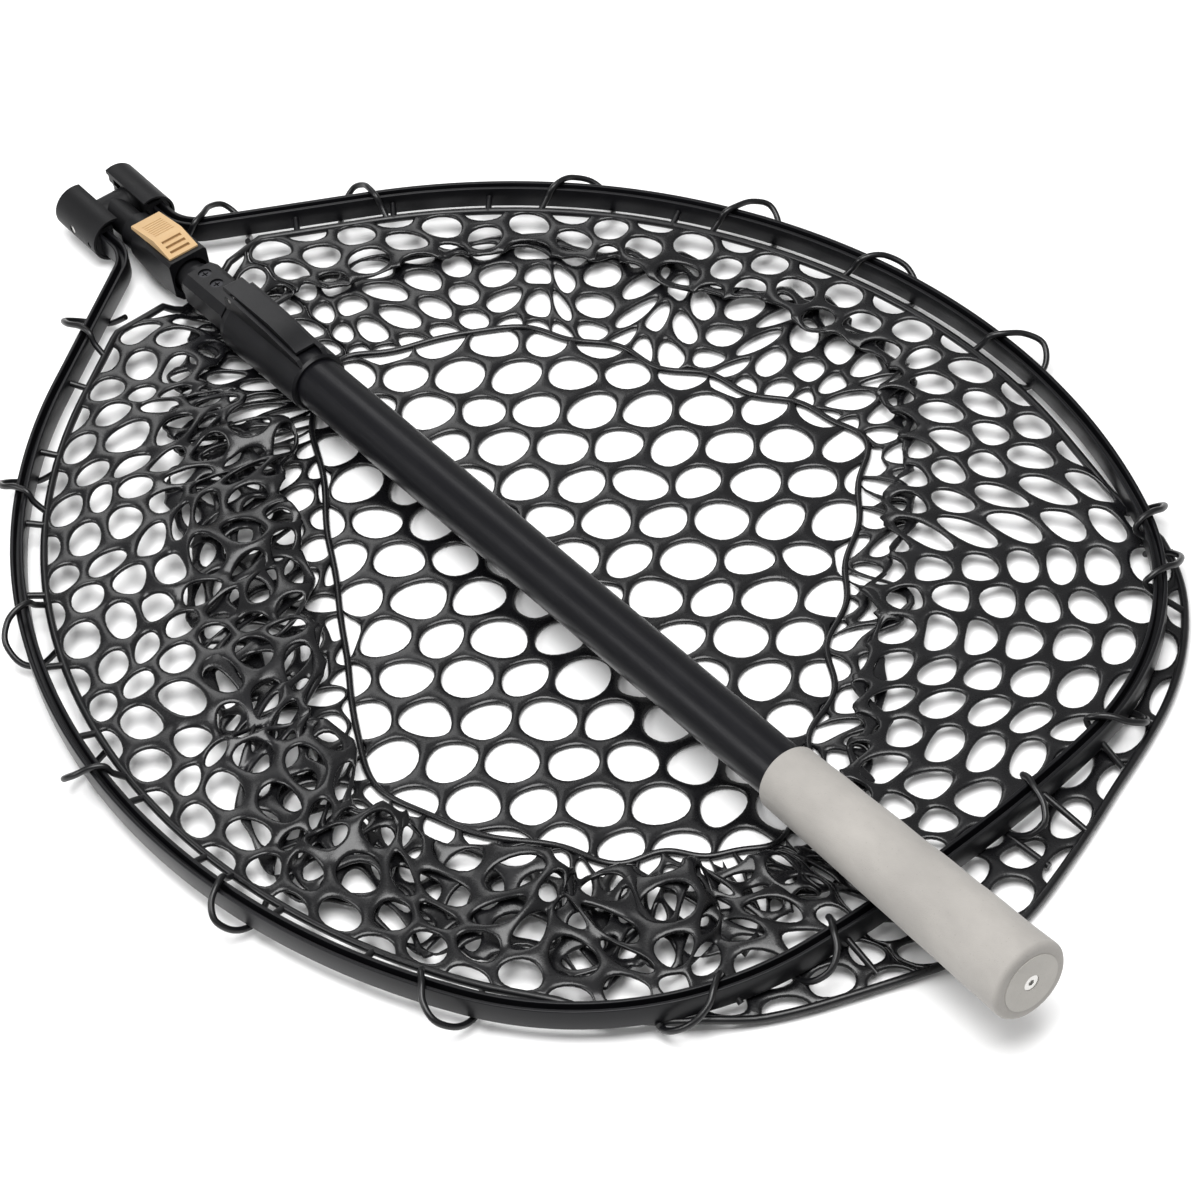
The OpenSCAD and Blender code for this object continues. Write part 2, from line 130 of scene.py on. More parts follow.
panel_light("back_panel", (-1.5, 0.5, 1.2), (0, 0, 0), (0.5, 1.2), 5)
panel_light("left_panel", (-0.7, -1.6, 1.2), (0, 0, 0), (1.2, 0.6), 16)
panel_light("top_panel", (0.35, -0.2, 2.1), (0, 0, 0), (1.5, 1.5), 62)
world = bpy.data.worlds.new("studio")
bpy.context.scene.world = world
world.use_nodes = True
world.node_tree.nodes["Background"].inputs["Color"].default_value = (1, 1, 1, 1)
world.node_tree.nodes["Background"].inputs["Strength"].default_value = 0.36
bpy.context.scene.view_settings.view_transform = "Standard"

# %% [markdown]
# ## Shader maths as plain expressions
#
# A material is a graph of nodes, but it reads better as sums. `Val` wraps one socket, so that `a * 2 + b`
# adds the Math nodes, and `Paint` holds a material's tree and adds any other node by its type.

# %% Small classes for materials
class Val:
    def __init__(self, paint, socket):
        self.paint, self.socket = paint, socket

    def maths(self, operation, other, swap=False):
        pair = (other, self) if swap else (self, other)
        return self.paint.add("ShaderNodeMath", {"operation": operation}, {0: pair[0], 1: pair[1]})

    def __add__(self, other): return self.maths("ADD", other)
    def __radd__(self, other): return self.maths("ADD", other, True)
    def __sub__(self, other): return self.maths("SUBTRACT", other)
    def __rsub__(self, other): return self.maths("SUBTRACT", other, True)
    def __mul__(self, other): return self.maths("MULTIPLY", other)
    def __rmul__(self, other): return self.maths("MULTIPLY", other, True)
    def __gt__(self, other): return self.maths("GREATER_THAN", other)

    def clipped(self):
        return self.paint.add("ShaderNodeClamp", {}, {"Value": self})


class Paint:
    def __init__(self, name):
        self.material = bpy.data.materials.new(name)
        self.material.use_nodes = True
        self.tree = self.material.node_tree
        self.skin = self.tree.nodes["Principled BSDF"]

    def add(self, kind, settings, sockets, out=0):
        """A node of this kind, with its settings and then its sockets' values or links."""
        node = self.tree.nodes.new(kind)
        for key, value in settings.items():
            setattr(node, key, value)
        for key, value in sockets.items():
            self.join(value, node.inputs[key])
        return Val(self, node.outputs[out])

    def join(self, value, socket):
        if isinstance(value, Val):
            self.tree.links.new(value.socket, socket)
        else:
            socket.default_value = value

    def place(self, scale=(1, 1, 1)):
        """Object coordinates in metres, stretched by scale."""
        spot = self.add("ShaderNodeTexCoord", {}, {}, out=3)
        return self.add("ShaderNodeMapping", {}, {"Vector": spot, "Scale": scale})

    def noise(self, size, detail=2.0, scale=(1, 1, 1), rough=0.5):
        """Cloudy noise whose lumps are about size metres across."""
        return self.add("ShaderNodeTexNoise", {}, {
            "Vector": self.place(scale), "Scale": 1 / size, "Detail": detail, "Roughness": rough})

    def between(self, share, first, second):
        """A colour mixed from first to second."""
        node = self.tree.nodes.new("ShaderNodeMix")
        node.data_type = "RGBA"
        self.join(share, node.inputs["Factor"])
        for socket, value in ((6, first), (7, second)):
            self.join(value if isinstance(value, Val) else (*value, 1), node.inputs[socket])
        return Val(self, node.outputs[2])

    def bump(self, height, strength, depth):
        return self.add("ShaderNodeBump", {}, {"Height": height, "Strength": strength, "Distance": depth})

    def finish(self, **values):
        for key, value in values.items():
            self.join(value, self.skin.inputs[key.replace("_", " ")])
        return self.material


# %% [markdown]
# ## Finishes
#
# The net has four blacks: satin anodised hoop, matt moulded plastic, drawn tube with faint lines along it,
# and rubber with a soft gloss. They differ in roughness and fine bump far more than in colour.

# %% Black metal and plastic
def moulded_black(name, colour, rough, grain):
    """Fine-grained moulded plastic, a little greyer where it has been rubbed."""
    p = Paint(name)
    fine, cloud = p.noise(grain, 3), p.noise(0.02, 3)
    rubbed = tuple(c * 1.8 + 0.003 for c in colour)
    shade = p.between((cloud - 0.45) * 1.2, colour, rubbed)
    return p.finish(Base_Color=shade, Roughness=rough + (fine - 0.5) * 0.16 + (cloud - 0.5) * 0.2,
                    Normal=p.bump(fine, 0.35, 0.00012), Specular_IOR_Level=0.22)


def drawn_tube(name, colour, rough):
    """Anodised tube, with the fine lines that drawing leaves along it."""
    p = Paint(name)
    lines = p.noise(0.0011, 4, (0.02, 1, 1), 0.7)
    bands = p.noise(0.0042, 2, (0.004, 1, 1), 0.4)
    wear = p.noise(0.03, 4)
    shade = p.between((wear - 0.5) * 0.7, colour, tuple(c * 1.6 + 0.005 for c in colour))
    return p.finish(Base_Color=shade, Metallic=0.15,
                    Roughness=rough + (lines - 0.5) * 0.22 + (wear - 0.5) * 0.12,
                    Normal=p.bump(lines * 0.3 + (bands > 0.56) * 1.0, 0.3, 0.00012),
                    Specular_IOR_Level=0.25)


def anodised(name):
    """Satin anodised hoop with a light grain."""
    p = Paint(name)
    fine, cloud = p.noise(0.0006, 3), p.noise(0.04, 3)
    shade = p.between((cloud - 0.42) * 0.9, (0.0045, 0.0045, 0.0055), (0.013, 0.013, 0.016))
    return p.finish(Base_Color=shade, Metallic=0.3,
                    Roughness=0.36 + (fine - 0.5) * 0.14 + (cloud - 0.5) * 0.16,
                    Normal=p.bump(fine, 0.2, 0.00008), Specular_IOR_Level=0.3)


hoop_black = anodised("hoop_black")
shell_black = moulded_black("shell_black", (0.0055, 0.0055, 0.0062), 0.5, 0.0007)
collar_black = moulded_black("collar_black", (0.0045, 0.0045, 0.0053), 0.44, 0.0006)
block_black = moulded_black("block_black", (0.0045, 0.0045, 0.0055), 0.42, 0.0006)
sleeve_black = moulded_black("sleeve_black", (0.0042, 0.0042, 0.0052), 0.38, 0.0006)
lever_black = moulded_black("lever_black", (0.0065, 0.0065, 0.0075), 0.36, 0.0006)
tube_black = drawn_tube("tube_black", (0.0035, 0.0035, 0.005), 0.36)
inner_black = drawn_tube("inner_black", (0.010, 0.010, 0.012), 0.34)

# %% Steel, nylon and the tan pad
def steel(name, colour, rough):
    p = Paint(name)
    lines = p.noise(0.0004, 3)
    return p.finish(Base_Color=p.between(lines, colour, tuple(c * 0.8 for c in colour)), Metallic=1.0,
                    Roughness=rough + (lines - 0.5) * 0.16)


bright_steel = steel("bright_steel", (0.62, 0.61, 0.59), 0.28)
dark_steel = steel("dark_steel", (0.045, 0.045, 0.05), 0.38)


def nylon(name, colour):
    p = Paint(name)
    cloud = p.noise(0.004, 2)
    return p.finish(Base_Color=p.between(cloud, colour, tuple(c * 0.86 for c in colour)),
                    Roughness=0.42 + (cloud - 0.5) * 0.2)


nylon_white = nylon("nylon_white", (0.72, 0.72, 0.70))
nylon_grey = nylon("nylon_grey", (0.12, 0.12, 0.12))

p = Paint("tan_plastic")
fine, cloud = p.noise(0.0009, 3), p.noise(0.012, 3)
tan = p.between((cloud - 0.3) * 0.9, (0.46, 0.30, 0.145), (0.53, 0.37, 0.195))
tan_plastic = p.finish(Base_Color=tan, Roughness=0.46 + (fine - 0.5) * 0.14,
                       Normal=p.bump(fine, 0.3, 0.0001), Subsurface_Weight=0.0)

# %% [markdown]
# ## Foam and rubber
#
# The grip is closed-cell foam, ground to shape: a fine open grain, small pits, and faint darker smudges.
# The net is moulded rubber, nearly black, with a soft gloss that turns grey where it faces a light, and paler
# patches in its colour that are partly dust and partly painted sheen.

# %% Foam and rubber
def foam(name, light, dark):
    p = Paint(name)
    cells = p.noise(0.00055, 3, rough=0.65)
    pits = p.add("ShaderNodeTexVoronoi", {}, {"Vector": p.place(), "Scale": 420.0})
    smudge = p.noise(0.035, 4, (0.6, 1, 1), 0.6)
    spots = (0.16 - pits).clipped() * 3.2
    shade = p.between((smudge - 0.36) * 1.7, dark, light)
    speckled = p.between((spots + (0.5 - cells) * 0.5).clipped(), shade, tuple(c * 0.72 for c in dark))
    return p.finish(Base_Color=speckled, Roughness=0.9 + (cells - 0.5) * 0.15,
                    Normal=p.bump(cells * 0.7 - spots * 0.6, 0.55, 0.0004), Sheen_Weight=0.15,
                    Specular_IOR_Level=0.25)


foam_grey = foam("foam_grey", (0.40, 0.38, 0.355), (0.285, 0.272, 0.255))
foam_cap = foam("foam_cap", (0.46, 0.44, 0.41), (0.37, 0.355, 0.33))


def rubber(name, rough, pale):
    p = Paint(name)
    fine, cloud, dust_and_sheen_patches = p.noise(0.0012, 3), p.noise(0.012, 3), p.noise(0.05, 3)
    shade = p.between((cloud - 0.5) * 1.0, (0.0035, 0.0035, 0.0042), (0.010, 0.010, 0.012))
    # paler patches in the base colour: partly dust on the rubber, partly a painted sheen standing in for its
    # grey reflections
    dust_and_sheen = p.between((dust_and_sheen_patches - 0.58) * pale, shade, (0.028, 0.028, 0.032))
    return p.finish(Base_Color=dust_and_sheen, Roughness=rough + (fine - 0.5) * 0.14 + (cloud - 0.5) * 0.2,
                    Normal=p.bump(fine, 0.2, 0.00016), Specular_IOR_Level=0.42)


mesh_rubber = rubber("mesh_rubber", 0.27, 1.3)
loop_rubber = rubber("loop_rubber", 0.32, 0.8)
ring_rubber = rubber("ring_rubber", 0.6, 0.2)

# %% Dress the CAD nodes
FINISHES = {
    "left_shell": shell_black, "right_shell": shell_black, "arm_rivets": dark_steel,
    "hinge_pin": bright_steel, "thrust_washers": nylon_white, "pivot_neck": shell_black,
    "head_block": block_black,
    "block_screws": dark_steel, "inner_tube": inner_black, "guide_bush": nylon_grey,
    "lock_collar": collar_black, "thumb_pad": tan_plastic, "friction_ring": ring_rubber,
    "outer_tube": tube_black, "clamp_sleeve": sleeve_black, "pressure_pad": nylon_grey,
    "lever_pin": bright_steel, "cam_lever": lever_black, "grip": foam_grey, "end_cap": foam_cap,
    "cap_screw": bright_steel, "hoop_frame": hoop_black, "net_rim": mesh_rubber, "net_loops": mesh_rubber,
    "net_wall": mesh_rubber, "net_bottom": mesh_rubber}
for node, finish in FINISHES.items():
    for slot in frame["nodes"][node].material_slots:
        slot.material = finish
print("finishes on", len(FINISHES), "nodes")

# %% [markdown]
# ## The hoop's path
#
# The hoop is a strip bent in a few plain arcs: a short lead inside each shell, a flare, and then wider and
# tighter bends out to the middle of the far end. Walking those arcs gives points with a heading, and the
# inside of the hoop is always on the right hand of the +Y side.

# %% Walk the hoop's bends
# Lengths are in millimetres from the pivot and angles in degrees. LEAD is where an arm starts in its shell,
# FLARE how far it then turns out, and SIDE where that flare meets the first of the wide bends. SKEW and
# SKEW_Y are how far the bent hoop leans and sits off the handle's line.
LEAD_X, LEAD_Y = 11, 17
FLARE, FLARE_R = 55.8, 24
SIDE_X, SIDE_Y = 99.3, 99.7
SKEW, SKEW_Y = 3.9, 4.6
BENDS = [(332, -31.1), (373, -51.7), (159, -56.1)]
FAR_R = 640
ALL_BENDS = BENDS + [(FAR_R, round(-(FLARE + 90) - sum(turn for _, turn in BENDS), 1))]


def half_way_across():
    """How far off the middle line the wide bends end, which is the length of the last straight."""
    y, heading = SIDE_Y, math.radians(FLARE)
    for radius, turn in ALL_BENDS:
        after = heading + math.radians(turn)
        y += math.copysign(radius, turn) * (math.cos(heading) - math.cos(after))
        heading = after
    return y


def side_runs(k):
    """One side's runs, from inside its shell to the middle of the far end; k is 1 for +Y and -1 for -Y."""
    flare_turn = round(k * FLARE + SKEW, 1)
    flare, lean = math.radians(flare_turn), math.radians(SKEW)
    x, y = SIDE_X, k * SIDE_Y - SKEW_Y
    x, y = x * math.cos(lean) - y * math.sin(lean), x * math.sin(lean) + y * math.cos(lean)
    flare_run = (y - k * LEAD_Y) / math.sin(flare)
    in_bend = FLARE_R * math.tan(abs(flare) / 2)
    lead_run = x - flare_run * math.cos(flare) - in_bend - LEAD_X
    wide = [(radius, k * turn) for radius, turn in ALL_BENDS]
    arm = [(0, round(lead_run, 4)), (FLARE_R, flare_turn), (0, round(flare_run - in_bend, 4))]
    return [*arm, *wide, (0, round(half_way_across(), 3))]


def walk(start, bends, stride):
    """Points [x, y, heading] along straight runs (0, length) and arcs (radius, angle)."""
    x, y, h = start
    path = [(x, y, h)]
    for radius, turn in bends:
        length = turn if radius == 0 else radius * abs(math.radians(turn))
        count = max(1, math.ceil(length / stride))
        for i in range(count):
            step = (0 if radius == 0 else math.radians(turn)) / count
            x += length / count * math.cos(h + step / 2)
            y += length / count * math.sin(h + step / 2)
            h += step
            path.append((x, y, h))
    return np.array(path)


STRIDE = 3.0
side_a = walk((LEAD_X, LEAD_Y, 0), side_runs(1), STRIDE)
side_b = walk((LEAD_X, -LEAD_Y, 0), side_runs(-1), STRIDE)
back_b = side_b[::-1].copy()
back_b[:, 2] += math.pi
hoop_path = np.vstack([side_a, back_b[1:]])
gaps = np.hypot(*np.diff(hoop_path[:, :2], axis=0).T)
hoop_run = np.concatenate([[0], np.cumsum(gaps)])
FAR = hoop_run[len(side_a) - 1]
print("hoop is", round(hoop_run[-1]), "mm round; far end at", round(FAR))


def hoop_at(run, inside):
    """Points inside millimetres in from the hoop's middle line, at these runs along it."""
    x, y = (np.interp(run, hoop_run, hoop_path[:, i]) for i in (0, 1))
    c, s = (np.interp(run, hoop_run, f(hoop_path[:, 2])) for f in (np.cos, np.sin))
    return np.stack([x + inside * s, y - inside * c], axis=-1)


# %% [markdown]
# ## Sweeping a section along a path
#
# The hoop, its ties and the net's edges are all one section carried along one line. Geometry Nodes do that
# with Curve to Mesh: one tree takes the section's outline and the material as inputs, and serves them all.

# %% A node tree that sweeps
def new_tree(name, inputs):
    tree = bpy.data.node_groups.new(name, "GeometryNodeTree")
    tree.interface.new_socket("Geometry", in_out="INPUT", socket_type="NodeSocketGeometry")
    tree.interface.new_socket("Geometry", in_out="OUTPUT", socket_type="NodeSocketGeometry")
    for label, kind in inputs:
        tree.interface.new_socket(label, in_out="INPUT", socket_type=kind)
    return tree, tree.nodes.new("NodeGroupInput"), tree.nodes.new("NodeGroupOutput")


def chain(tree, *links):
    for (a, out), (b, into) in links:
        tree.links.new(a.outputs[out], b.inputs[into])


def sweep_tree():
    tree, start, end = new_tree("sweep", [("Section", "NodeSocketObject"), ("Finish", "NodeSocketMaterial")])
    line, section = tree.nodes.new("GeometryNodeMeshToCurve"), tree.nodes.new("GeometryNodeMeshToCurve")
    info, upright = tree.nodes.new("GeometryNodeObjectInfo"), tree.nodes.new("GeometryNodeSetCurveNormal")
    skin, real = tree.nodes.new("GeometryNodeCurveToMesh"), tree.nodes.new("GeometryNodeRealizeInstances")
    coat, smooth = tree.nodes.new("GeometryNodeSetMaterial"), tree.nodes.new("GeometryNodeSetShadeSmooth")
    upright.mode = "Z_UP"
    skin.inputs["Fill Caps"].default_value = True
    chain(tree, ((start, "Geometry"), (line, "Mesh")), ((line, "Curve"), (upright, "Curve")),
          ((start, "Section"), (info, "Object")), ((info, "Geometry"), (section, "Mesh")),
          ((upright, "Curve"), (skin, "Curve")), ((section, "Curve"), (skin, "Profile Curve")),
          ((skin, "Mesh"), (smooth, "Geometry")), ((smooth, "Geometry"), (real, "Geometry")),
          ((real, "Geometry"), (coat, "Geometry")), ((start, "Finish"), (coat, "Material")),
          ((coat, "Geometry"), (end, "Geometry")))
    return tree


def mesh_object(name, points, edges=(), faces=()):
    mesh = bpy.data.meshes.new(name)
    mesh.from_pydata([tuple(q) for q in points], [tuple(e) for e in edges], [tuple(f) for f in faces])
    made = bpy.data.objects.new(name, mesh)
    bpy.context.scene.collection.objects.link(made)
    return made


def run_tree(name, source, tree, **inputs):
    """The plain mesh object that a tree makes from source, whose own object is then removed."""
    modifier = source.modifiers.new("make", "NODES")
    modifier.node_group = tree
    for item in tree.interface.items_tree:
        if item.in_out == "INPUT" and item.name in inputs:
            modifier[item.identifier] = inputs[item.name]
    graph = bpy.context.evaluated_depsgraph_get()
    mesh = bpy.data.meshes.new_from_object(source.evaluated_get(graph))
    mesh.name = name
    source.modifiers.clear()
    bpy.data.objects.remove(source)
    made = bpy.data.objects.new(name, mesh)
    bpy.context.scene.collection.objects.link(made)
    return made


SWEEP = sweep_tree()


def section_of(name, outline):
    """A closed outline in millimetres, kept out of the picture, for sweep to carry."""
    made = mesh_object(name, [(u * MM, v * MM, 0) for u, v in outline],
                       [(i, (i + 1) % len(outline)) for i in range(len(outline))])
    bpy.context.scene.collection.objects.unlink(made)
    return made


def round_section(radius, count=10):
    turns = [2 * math.pi * i / count for i in range(count)]
    return section_of("round", [(radius * math.cos(t), radius * math.sin(t)) for t in turns])


def swept(name, lines, section, finish):
    """One piece from several lines of (points, closed), each carrying the same section."""
    points, edges = [], []
    for line, closed in lines:
        n, base = len(line), len(points)
        edges += [(base + i, base + (i + 1) % n) for i in range(n if closed else n - 1)]
        points += [tuple(q) for q in placed(line)]
    return run_tree(name, mesh_object(name + "_line", points, edges), SWEEP, Section=section, Finish=finish)


# %% The hoop, with rounded edges
def rounded(outline, radius, steps=2):
    """An outline with each corner cut into a small arc."""
    out, n = [], len(outline)
    for i in range(n):
        before, here, after = (np.array(outline[(i + k) % n], float) for k in (-1, 0, 1))
        a = here + (before - here) / np.linalg.norm(before - here) * radius
        b = here + (after - here) / np.linalg.norm(after - here) * radius
        for k in range(steps + 1):
            f = k / steps
            out.append(tuple((1 - f) ** 2 * a + 2 * f * (1 - f) * here + f * f * b))
    return out


low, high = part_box("hoop_frame")
HOOP_H, HOOP_W, WALL, WEB = (high[2] - low[2]) / MM, 6.6, 1.9, 2.2
a, b, h, t = HOOP_W / 2, HOOP_W / 2 - WALL, HOOP_H / 2, WEB / 2
LOWER_HALF = [(-a, -h), (-b, -h), (-b, -t), (b, -t), (b, -h), (a, -h)]
H_SECTION = LOWER_HALF + [(-u, -v) for u, v in LOWER_HALF]
hoop_line = np.column_stack([hoop_path[:, :2], np.zeros(len(hoop_path))])
hoop = swept("hoop_rail", [(hoop_line, False)], section_of("h_section", rounded(H_SECTION, 0.5)), hoop_black)
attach(hoop, "hoop")
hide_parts("hoop_frame")
print("hoop:", len(hoop.data.polygons), "faces")

# %% [markdown]
# ## Moulded edges
#
# No moulded edge is truly sharp. Each of these parts takes the CAD shape as it is, and rounds its edges by a
# fraction of a millimetre, so that they catch the light as the real ones do.

# %% Round the moulded parts' edges
def edge_softened(node, body, finish, radius):
    """A copy of a CAD part's surface, with its flat faces joined up and its edges rounded."""
    made = mesh_object(node + "_moulding", [v.co for v in frame["nodes"][node].data.vertices], (),
                       [p.vertices for p in frame["nodes"][node].data.polygons])
    bm = bmesh.new()
    bm.from_mesh(made.data)
    bmesh.ops.remove_doubles(bm, verts=bm.verts, dist=0.000002)
    bmesh.ops.dissolve_limit(bm, angle_limit=math.radians(1.5), verts=bm.verts, edges=bm.edges)
    bm.to_mesh(made.data)
    bm.free()
    made.data.polygons.foreach_set("use_smooth", [True] * len(made.data.polygons))
    made.data.materials.append(finish)
    round_off = made.modifiers.new("rounding", "BEVEL")
    round_off.width, round_off.segments, round_off.harden_normals = radius * MM, 2, True
    round_off.limit_method, round_off.angle_limit = "ANGLE", math.radians(28)
    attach(made, body)
    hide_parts(node)
    return made


MOULDED = (("cam_lever", "lever", lever_black, "lever_black", 0.9),
           ("lock_collar", "collar", collar_black, "moulded_black", 0.5),
           ("thumb_pad", "collar", tan_plastic, "tan_plastic", 0.25),
           ("head_block", "head", block_black, "moulded_black", 0.4),
           ("left_shell", "hoop", shell_black, "moulded_black", 0.4),
           ("right_shell", "hoop", shell_black, "moulded_black", 0.4))
for node, body, finish, slot, radius in MOULDED:
    part = edge_softened(node, body, finish, radius)
    print(part.name, len(part.data.polygons), "faces before rounding")

# %% [markdown]
# ## The foam grip
#
# The grip is ground from a foam tube, so it is nearly true: its front edge is rolled over, its rear edge is
# rounder where a hand and the ground wear it, and the skin is uneven by a few tenths of a millimetre.

# %% Turn the grip
axes = {joint["name"]: joint["axis"] for joint in frame["record"]["behaviour"]["joints"]}
SLOPE = math.asin(axes["telescope"][2])
GRIP_L, GRIP_FRONT, GRIP_REAR, CAP_R, TUBE_R = 165.0, 16.5, 19.8, 14.45, 13.55


def tipped(points):
    """Points in millimetres along the handle, to its side and above its axis, as seen from the level hoop."""
    x, y, z = np.asarray(points, float).T
    turned = [x * math.cos(SLOPE) - z * math.sin(SLOPE), y, x * math.sin(SLOPE) + z * math.cos(SLOPE)]
    return np.column_stack(turned)


def grip_profile():
    """Half outline of the grip as (along, radius), from the tube round the outside to the end cap."""
    roll, worn, lip = 1.6, 3.0, 2.6
    quarter = np.linspace(0, math.pi / 2, 7)
    front = [(roll - roll * math.cos(a), GRIP_FRONT - roll + roll * math.sin(a)) for a in quarter]
    rear = [(GRIP_L - worn + lip * math.sin(a), GRIP_REAR - worn + worn * math.cos(a))
            for a in np.linspace(0, 1.5, 9)]
    slope = [(x, GRIP_FRONT + (GRIP_REAR - GRIP_FRONT) * (x / GRIP_L) ** 1.1)
             for x in np.linspace(4, GRIP_L - 6, 70)]
    return [(0.0, TUBE_R)] + front + slope + rear + [(GRIP_L - 0.4, CAP_R)]


def turned_foam(name, profile, around=120):
    """A lathe surface on the handle's axis, with a slow unevenness in its radius."""
    points, faces = [], []
    for i, (x, radius) in enumerate(profile):
        for k in range(around):
            a = 2 * math.pi * k / around
            wave = math.sin(3 * a + x * 0.07) * math.sin(x * 0.11 + a) + 0.6 * math.sin(5 * a - x * 0.19 + 1)
            grown = radius - (0.16 + 0.12 * wave) * min(1.0, max(0.0, (radius - TUBE_R) / 3))
            points.append((HANDLE_L - GRIP_L + x, grown * math.cos(a), grown * math.sin(a)))
    for i in range(len(profile) - 1):
        for k in range(around):
            a, b = i * around + k, i * around + (k + 1) % around
            faces.append((a, b, b + around, a + around))
    made = mesh_object(name, placed(tipped(points)), (), faces)
    made.data.polygons.foreach_set("use_smooth", [True] * len(faces))
    made.data.materials.append(foam_grey)
    return made


cap_reach = (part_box("end_cap")[1][0] - PIVOT[0]) / MM
HANDLE_L = (cap_reach - CAP_R * math.sin(SLOPE)) / math.cos(SLOPE)
grip = turned_foam("grip_foam", grip_profile())
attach(grip, "handle")
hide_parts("grip")
print("grip:", len(grip.data.polygons), "faces, handle", round(HANDLE_L, 1), "mm long")

# %% [markdown]
# ## How the net lies
#
# The net is a bag moulded flat: a wall of round holes from the hoop's ties down to a floor panel with
# larger holes. Laid down, its floor panel spreads out as a rounded kite and its wall folds in three: in from
# the rim, back towards the hoop, and in again to the panel. So four closed lines describe it. The rim follows
# the hoop, the panel's edge has a few corners, and the two folds lie a set distance from that edge.

# %% The four guide lines
# Every row starts with how far along the hoop it is. RIM_IN is how far inside the hoop the rim lies, less
# than 0 being outside it. PANEL is the panel's corners. LEAD and HEAP are how far the inner and the outer
# fold lie from the panel's edge, towards the rim.
START, END = 70, FAR + 810
RIM_IN = ((START, 12), (600, 10), (670, -10), (790, -15), (900, -45), (975, -20), (1090, 12), (END, 12))
PANEL = ((START, 175, 35), (200, 215, 115), (530, 400, 195), (900, 590, -5), (1090, 535, -80),
         (1230, 435, -135), (1550, 215, -15), (END, 175, 5))
LEAD = ((START, 50), (450, 45), (530, 10), (1550, 10), (END, 50))
HEAP = ((START, 75), (450, 75), (530, 30), (900, 35), (1030, 80), (END, 80))
FINE = 900


def eased(values, width):
    """A closed row of values, evened out over width samples."""
    n = len(values)
    reach = np.minimum(np.arange(n), n - np.arange(n))
    kernel = np.exp(-0.5 * (reach / width) ** 2)
    spectrum = np.fft.rfft(kernel / kernel.sum())
    spectrum = spectrum.reshape(-1, *[1] * (np.ndim(values) - 1))
    return np.fft.irfft(np.fft.rfft(values, axis=0) * spectrum, n, axis=0)


runs = np.arange(START, END, 3.0)


def at_runs(rows, column=1):
    """A value that goes evenly from one row to the next, at every place along the hoop."""
    return np.interp(runs, [row[0] for row in rows], [row[column] for row in rows])


inset = np.convolve(np.pad(at_runs(RIM_IN), 8, "edge"), np.ones(17) / 17, "valid")
rim = hoop_at(runs, inset)
across = np.linspace(0, 1, 36)[1:-1, None]
head_gap = rim[-1] + (rim[0] - rim[-1]) * across + [[3, 0]] * np.sin(math.pi * across)
rim = np.vstack([rim, head_gap])
round_rim = np.concatenate([[0], np.cumsum(np.hypot(*np.diff(np.vstack([rim, rim[:1]]), axis=0).T))])
RIM_LENGTH = round_rim[-1]
run_at = round_rim[:len(runs)]
along = np.linspace(0, RIM_LENGTH, FINE, endpoint=False)


def closed_line(columns, width):
    """Values at every run as FINE rows at even distances round the rim, evened out and closed at the head."""
    rows = [np.interp(along, run_at, column, period=RIM_LENGTH) for column in columns]
    return eased(np.stack(rows, axis=-1), width)


rim_line = np.stack([np.interp(along, round_rim, np.append(rim[:, i], rim[0, i])) for i in (0, 1)], axis=-1)
panel_edge = closed_line([at_runs(PANEL, 1), at_runs(PANEL, 2)], 14)
outward = rim_line - panel_edge
outward /= np.linalg.norm(outward, axis=1, keepdims=True)
inner_fold = panel_edge + outward * closed_line([at_runs(LEAD)], 10)
outer_fold = panel_edge + outward * closed_line([at_runs(HEAP)], 10)
rim_inset = closed_line([at_runs(RIM_IN)], 6)[:, 0]
print("rim is", round(RIM_LENGTH), "mm round")

# %% [markdown]
# ## Waves in the folds
#
# Rubber never folds straight. Sums of a few sine waves, with fixed random phases, push the folds in and
# out and lift the layers a little, the same way on every run.

# %% Waves and heights
rng = np.random.default_rng(7)


def waves(s, t, length, dice=rng, count=5):
    """Smooth wandering from -1 to 1 over the net's own coordinates in millimetres, closed round the rim."""
    total = 0
    for _ in range(count):
        turns = max(1, round(RIM_LENGTH / (length * dice.uniform(0.7, 1.8))))
        slope = dice.uniform(-1, 1) * 2 * math.pi / length
        phase = dice.uniform(0, 2 * math.pi)
        total = total + np.sin(2 * math.pi * turns * s / RIM_LENGTH + slope * t + phase)
    return total / math.sqrt(count) * 0.9


def inwards(line):
    step = np.roll(line, -1, axis=0) - np.roll(line, 1, axis=0)
    step /= np.linalg.norm(step, axis=1, keepdims=True)
    return np.stack([step[:, 1], -step[:, 0]], axis=-1)


inner_fold += inwards(inner_fold) * (waves(along, 0, 70) * 5)[:, None]
outer_fold += inwards(outer_fold) * (waves(along, 0, 60) * 5)[:, None]
panel_edge += inwards(panel_edge) * (waves(along, 0, 90) * 3)[:, None]
stack = np.linalg.norm(inner_fold - outer_fold, axis=1)
gathered = eased(np.clip((stack - 12) / 40, 0, 1), 8)


# the handle's outline as (along, radius): collar, block, sleeve, tube and grip, each with a little room
HANDLE_SHAPE = ((0, 13), (90, 13), (92, 11.6), (129, 11.6), (130, 17), (203, 17),
                (204, 14.5), (575, 14.5), (576, 18), (760, 21))


def handle_room(x, y):
    """The highest that the net's middle may lie under the handle, in millimetres above the floor."""
    axis = -FLOOR + x * math.tan(SLOPE)
    radius = np.interp(x, [at for at, _ in HANDLE_SHAPE], [wide for _, wide in HANDLE_SHAPE])
    side = np.abs(y)
    flat = np.clip((130 - x) / 2, 0, 1)
    under = axis - np.sqrt(np.clip(radius ** 2 - (side * (1 - flat)) ** 2, 0, None)) - 2.2
    return np.where(side < radius + 1, under, under + (side - radius - 1) * 1.6)


# %% [markdown]
# ## The wall's surface
#
# Each place round the rim has a profile: rim, inner fold, outer fold, panel edge. It is sampled finely,
# evened out so that the folds are round, and stored as a table, which then answers where any point of the
# flat net goes.

